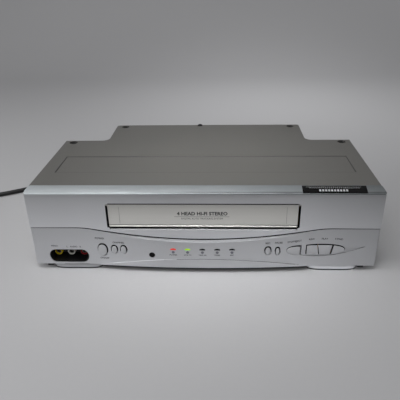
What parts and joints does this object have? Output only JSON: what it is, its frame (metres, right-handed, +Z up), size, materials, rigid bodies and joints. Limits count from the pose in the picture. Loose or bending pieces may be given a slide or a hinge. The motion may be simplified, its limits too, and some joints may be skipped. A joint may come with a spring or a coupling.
{
  "type": "video cassette recorder",
  "caption": "Front-loading video cassette recorder: silver front with a hinged cassette door over a bulging button panel, stepped grey steel cover, round feet and a black mains lead.",
  "frame": {"origin": "on the floor under the middle of the recorder's box, without the free lead", "axes": "+X to the viewer's right along the front, +Y to the rear, +Z up"},
  "size_m": [0.5809, 0.2405, 0.094],
  "materials": {
    "cover_paint": "fine-grained satin grey paint",
    "silver_plastic": "satin silver paint",
    "black_plastic": "matte black",
    "black_steel": "black enamel",
    "screw_black": "blackened steel",
    "plate_black": "gloss black film",
    "door_silver": "satin silver paint",
    "button_silver": "semi-gloss silver",
    "lens_red": "clear tinted, lit",
    "lens_green": "clear tinted, lit",
    "lens_dark": "dark tinted",
    "jack_yellow": "gloss",
    "jack_white": "gloss",
    "jack_red": "gloss",
    "board_brown": "phenolic board",
    "switch_black": "matte",
    "core_steel": "varnished laminations",
    "fin_aluminium": "extruded",
    "can_sleeve": "printed-free sleeve",
    "tin_plate": "tinned",
    "socket_metal": "nickel plate",
    "zinc_steel": "zinc plate",
    "drum_aluminium": "turned and polished",
    "motor_grey": "satin",
    "polished_steel": "ground",
    "white_plastic": "acetal",
    "rubber_black": "matte",
    "cord_black": "satin vinyl"
  },
  "bodies": {
    "recorder": {"top_cover": "cover_paint", "front_bezel": "silver_plastic", "control_panel": "silver_plastic", "chassis_base": "black_steel", "rear_panel": "black_steel", "front_feet": "silver_plastic", "rear_feet": "black_plastic", "foot_pads": "rubber_black", "cover_screws": "screw_black", "service_plate": "plate_black", "lens_red": "lens_red", "lens_green": "lens_green", "dark_windows": "lens_dark", "front_socket_block": "black_plastic", "video_in_front": "jack_yellow", "audio_left_in_front": "jack_white", "audio_right_in_front": "jack_red", "front_board": "board_brown", "tact_switches": "switch_black", "main_board": "board_brown", "power_transformer": "core_steel", "heat_sink": "fin_aluminium", "filter_capacitors": "can_sleeve", "tuner_can": "tin_plate", "aerial_sockets": "socket_metal", "rear_phono_sockets": "black_plastic", "deck_plate": "zinc_steel", "carriage_brackets": "zinc_steel", "lower_drum": "drum_aluminium", "drum_motor": "motor_grey", "capstan_motor": "motor_grey", "drive_belt": "rubber_black", "tape_heads": "polished_steel", "strain_relief": "cord_black", "mains_lead": "cord_black", "lead_coil": "cord_black", "mains_plug": "cord_black"},
    "door": {"cassette_door": "door_silver"},
    "slider": {"carriage_slide": "zinc_steel"},
    "holder": {"cassette_holder": "zinc_steel"},
    "drum": {"upper_drum": "drum_aluminium"},
    "capstan_body": {"capstan": "polished_steel"},
    "pulley": {"drive_pulley": "white_plastic"},
    "idler_swing": {"idler_arm": "zinc_steel"},
    "idler": {"idler_wheel": "rubber_black"},
    "pinch_swing": {"pinch_arm": "zinc_steel"},
    "roller": {"pinch_roller": "rubber_black"},
    "supply_reel": {"supply_reel_table": "white_plastic"},
    "takeup_reel": {"takeup_reel_table": "white_plastic"},
    "guide_supply": {"guide_block_supply": "drum_aluminium"},
    "guide_takeup": {"guide_block_takeup": "drum_aluminium"},
    "power_button": {"power_button": "button_silver"},
    "channel_up_button": {"channel_up_button": "button_silver"},
    "channel_down_button": {"channel_down_button": "button_silver"},
    "record_button": {"record_button": "button_silver"},
    "pause_button": {"pause_button": "button_silver"},
    "stop_eject_button": {"stop_eject_button": "button_silver"},
    "rewind_button": {"rewind_button": "button_silver"},
    "play_button": {"play_button": "button_silver"},
    "fast_forward_button": {"fast_forward_button": "button_silver"}
  },
  "joints": [
    {"name": "door_hinge", "type": "hinge", "parent": "recorder", "child": "door", "pos_m": [0, -0.1034, 0.0768], "axis": [1, 0, 0], "range_deg": [0, 80], "stiffness_Nm_per_rad": 0.02},
    {"name": "power_press", "type": "slide", "parent": "recorder", "child": "power_button", "axis": [0, 1, 0], "range_m": [0, 0.0006], "stiffness_N_per_m": 400},
    {"name": "channel_up_press", "type": "slide", "parent": "recorder", "child": "channel_up_button", "axis": [0, 1, 0], "range_m": [0, 0.0006], "stiffness_N_per_m": 400},
    {"name": "channel_down_press", "type": "slide", "parent": "recorder", "child": "channel_down_button", "axis": [0, 1, 0], "range_m": [0, 0.0006], "stiffness_N_per_m": 400},
    {"name": "record_press", "type": "slide", "parent": "recorder", "child": "record_button", "axis": [0, 1, 0], "range_m": [0, 0.0006], "stiffness_N_per_m": 400},
    {"name": "pause_press", "type": "slide", "parent": "recorder", "child": "pause_button", "axis": [0, 1, 0], "range_m": [0, 0.0006], "stiffness_N_per_m": 400},
    {"name": "stop_eject_press", "type": "slide", "parent": "recorder", "child": "stop_eject_button", "axis": [0, 1, 0], "range_m": [0, 0.0006], "stiffness_N_per_m": 400},
    {"name": "rewind_press", "type": "slide", "parent": "recorder", "child": "rewind_button", "axis": [0, 1, 0], "range_m": [0, 0.0006], "stiffness_N_per_m": 400},
    {"name": "play_press", "type": "slide", "parent": "recorder", "child": "play_button", "axis": [0, 1, 0], "range_m": [0, 0.0006], "stiffness_N_per_m": 400},
    {"name": "fast_forward_press", "type": "slide", "parent": "recorder", "child": "fast_forward_button", "axis": [0, 1, 0], "range_m": [0, 0.0006], "stiffness_N_per_m": 400},
    {"name": "carriage_in", "type": "slide", "parent": "recorder", "child": "slider", "axis": [0, 1, 0], "range_m": [0, 0.052]},
    {"name": "holder_down", "type": "slide", "parent": "slider", "child": "holder", "axis": [0, 0, -1], "range_m": [0, 0.014]},
    {"name": "drum_spin", "type": "hinge", "parent": "recorder", "child": "drum", "pos_m": [0, 0.0615, 0.0382], "axis": [0, -0.0958, 0.9954], "continuous": true},
    {"name": "capstan_spin", "type": "hinge", "parent": "recorder", "child": "capstan_body", "pos_m": [0.056, 0.034, 0.03], "axis": [0, 0, 1], "continuous": true},
    {"name": "pulley_spin", "type": "hinge", "parent": "recorder", "child": "pulley", "pos_m": [0, -0.0623, 0.03], "axis": [0, 0, 1], "continuous": true},
    {"name": "idler_tilt", "type": "hinge", "parent": "recorder", "child": "idler_swing", "pos_m": [0, -0.0623, 0.0345], "axis": [0, 0, 1], "range_deg": [-8, 8]},
    {"name": "idler_spin", "type": "hinge", "parent": "idler_swing", "child": "idler", "pos_m": [0, -0.036, 0.038], "axis": [0, 0, 1], "continuous": true},
    {"name": "pinch_tilt", "type": "hinge", "parent": "recorder", "child": "pinch_swing", "pos_m": [0.078, 0.036, 0.04], "axis": [0, 0, 1], "range_deg": [0, 24]},
    {"name": "roller_spin", "type": "hinge", "parent": "pinch_swing", "child": "roller", "pos_m": [0.0622, 0.05131, 0.048], "axis": [0, 0, 1], "continuous": true},
    {"name": "supply_spin", "type": "hinge", "parent": "recorder", "child": "supply_reel", "pos_m": [-0.046, -0.034, 0.038], "axis": [0, 0, 1], "continuous": true},
    {"name": "takeup_spin", "type": "hinge", "parent": "recorder", "child": "takeup_reel", "pos_m": [0.046, -0.034, 0.038], "axis": [0, 0, 1], "continuous": true},
    {"name": "guide_supply_slide", "type": "slide", "parent": "recorder", "child": "guide_supply", "axis": [-0.2696, 0.963, 0], "range_m": [0, 0.0519]},
    {"name": "guide_takeup_slide", "type": "slide", "parent": "recorder", "child": "guide_takeup", "axis": [0.2696, 0.963, 0], "range_m": [0, 0.0519]}
  ],
  "couplings": [
    {"joint": "pulley_spin", "follows": "capstan_spin", "ratio": 0.4375},
    {"joint": "idler_spin", "follows": "capstan_spin", "ratio": -0.13125},
    {"joint": "guide_takeup_slide", "follows": "guide_supply_slide", "ratio": 1}
  ]
}
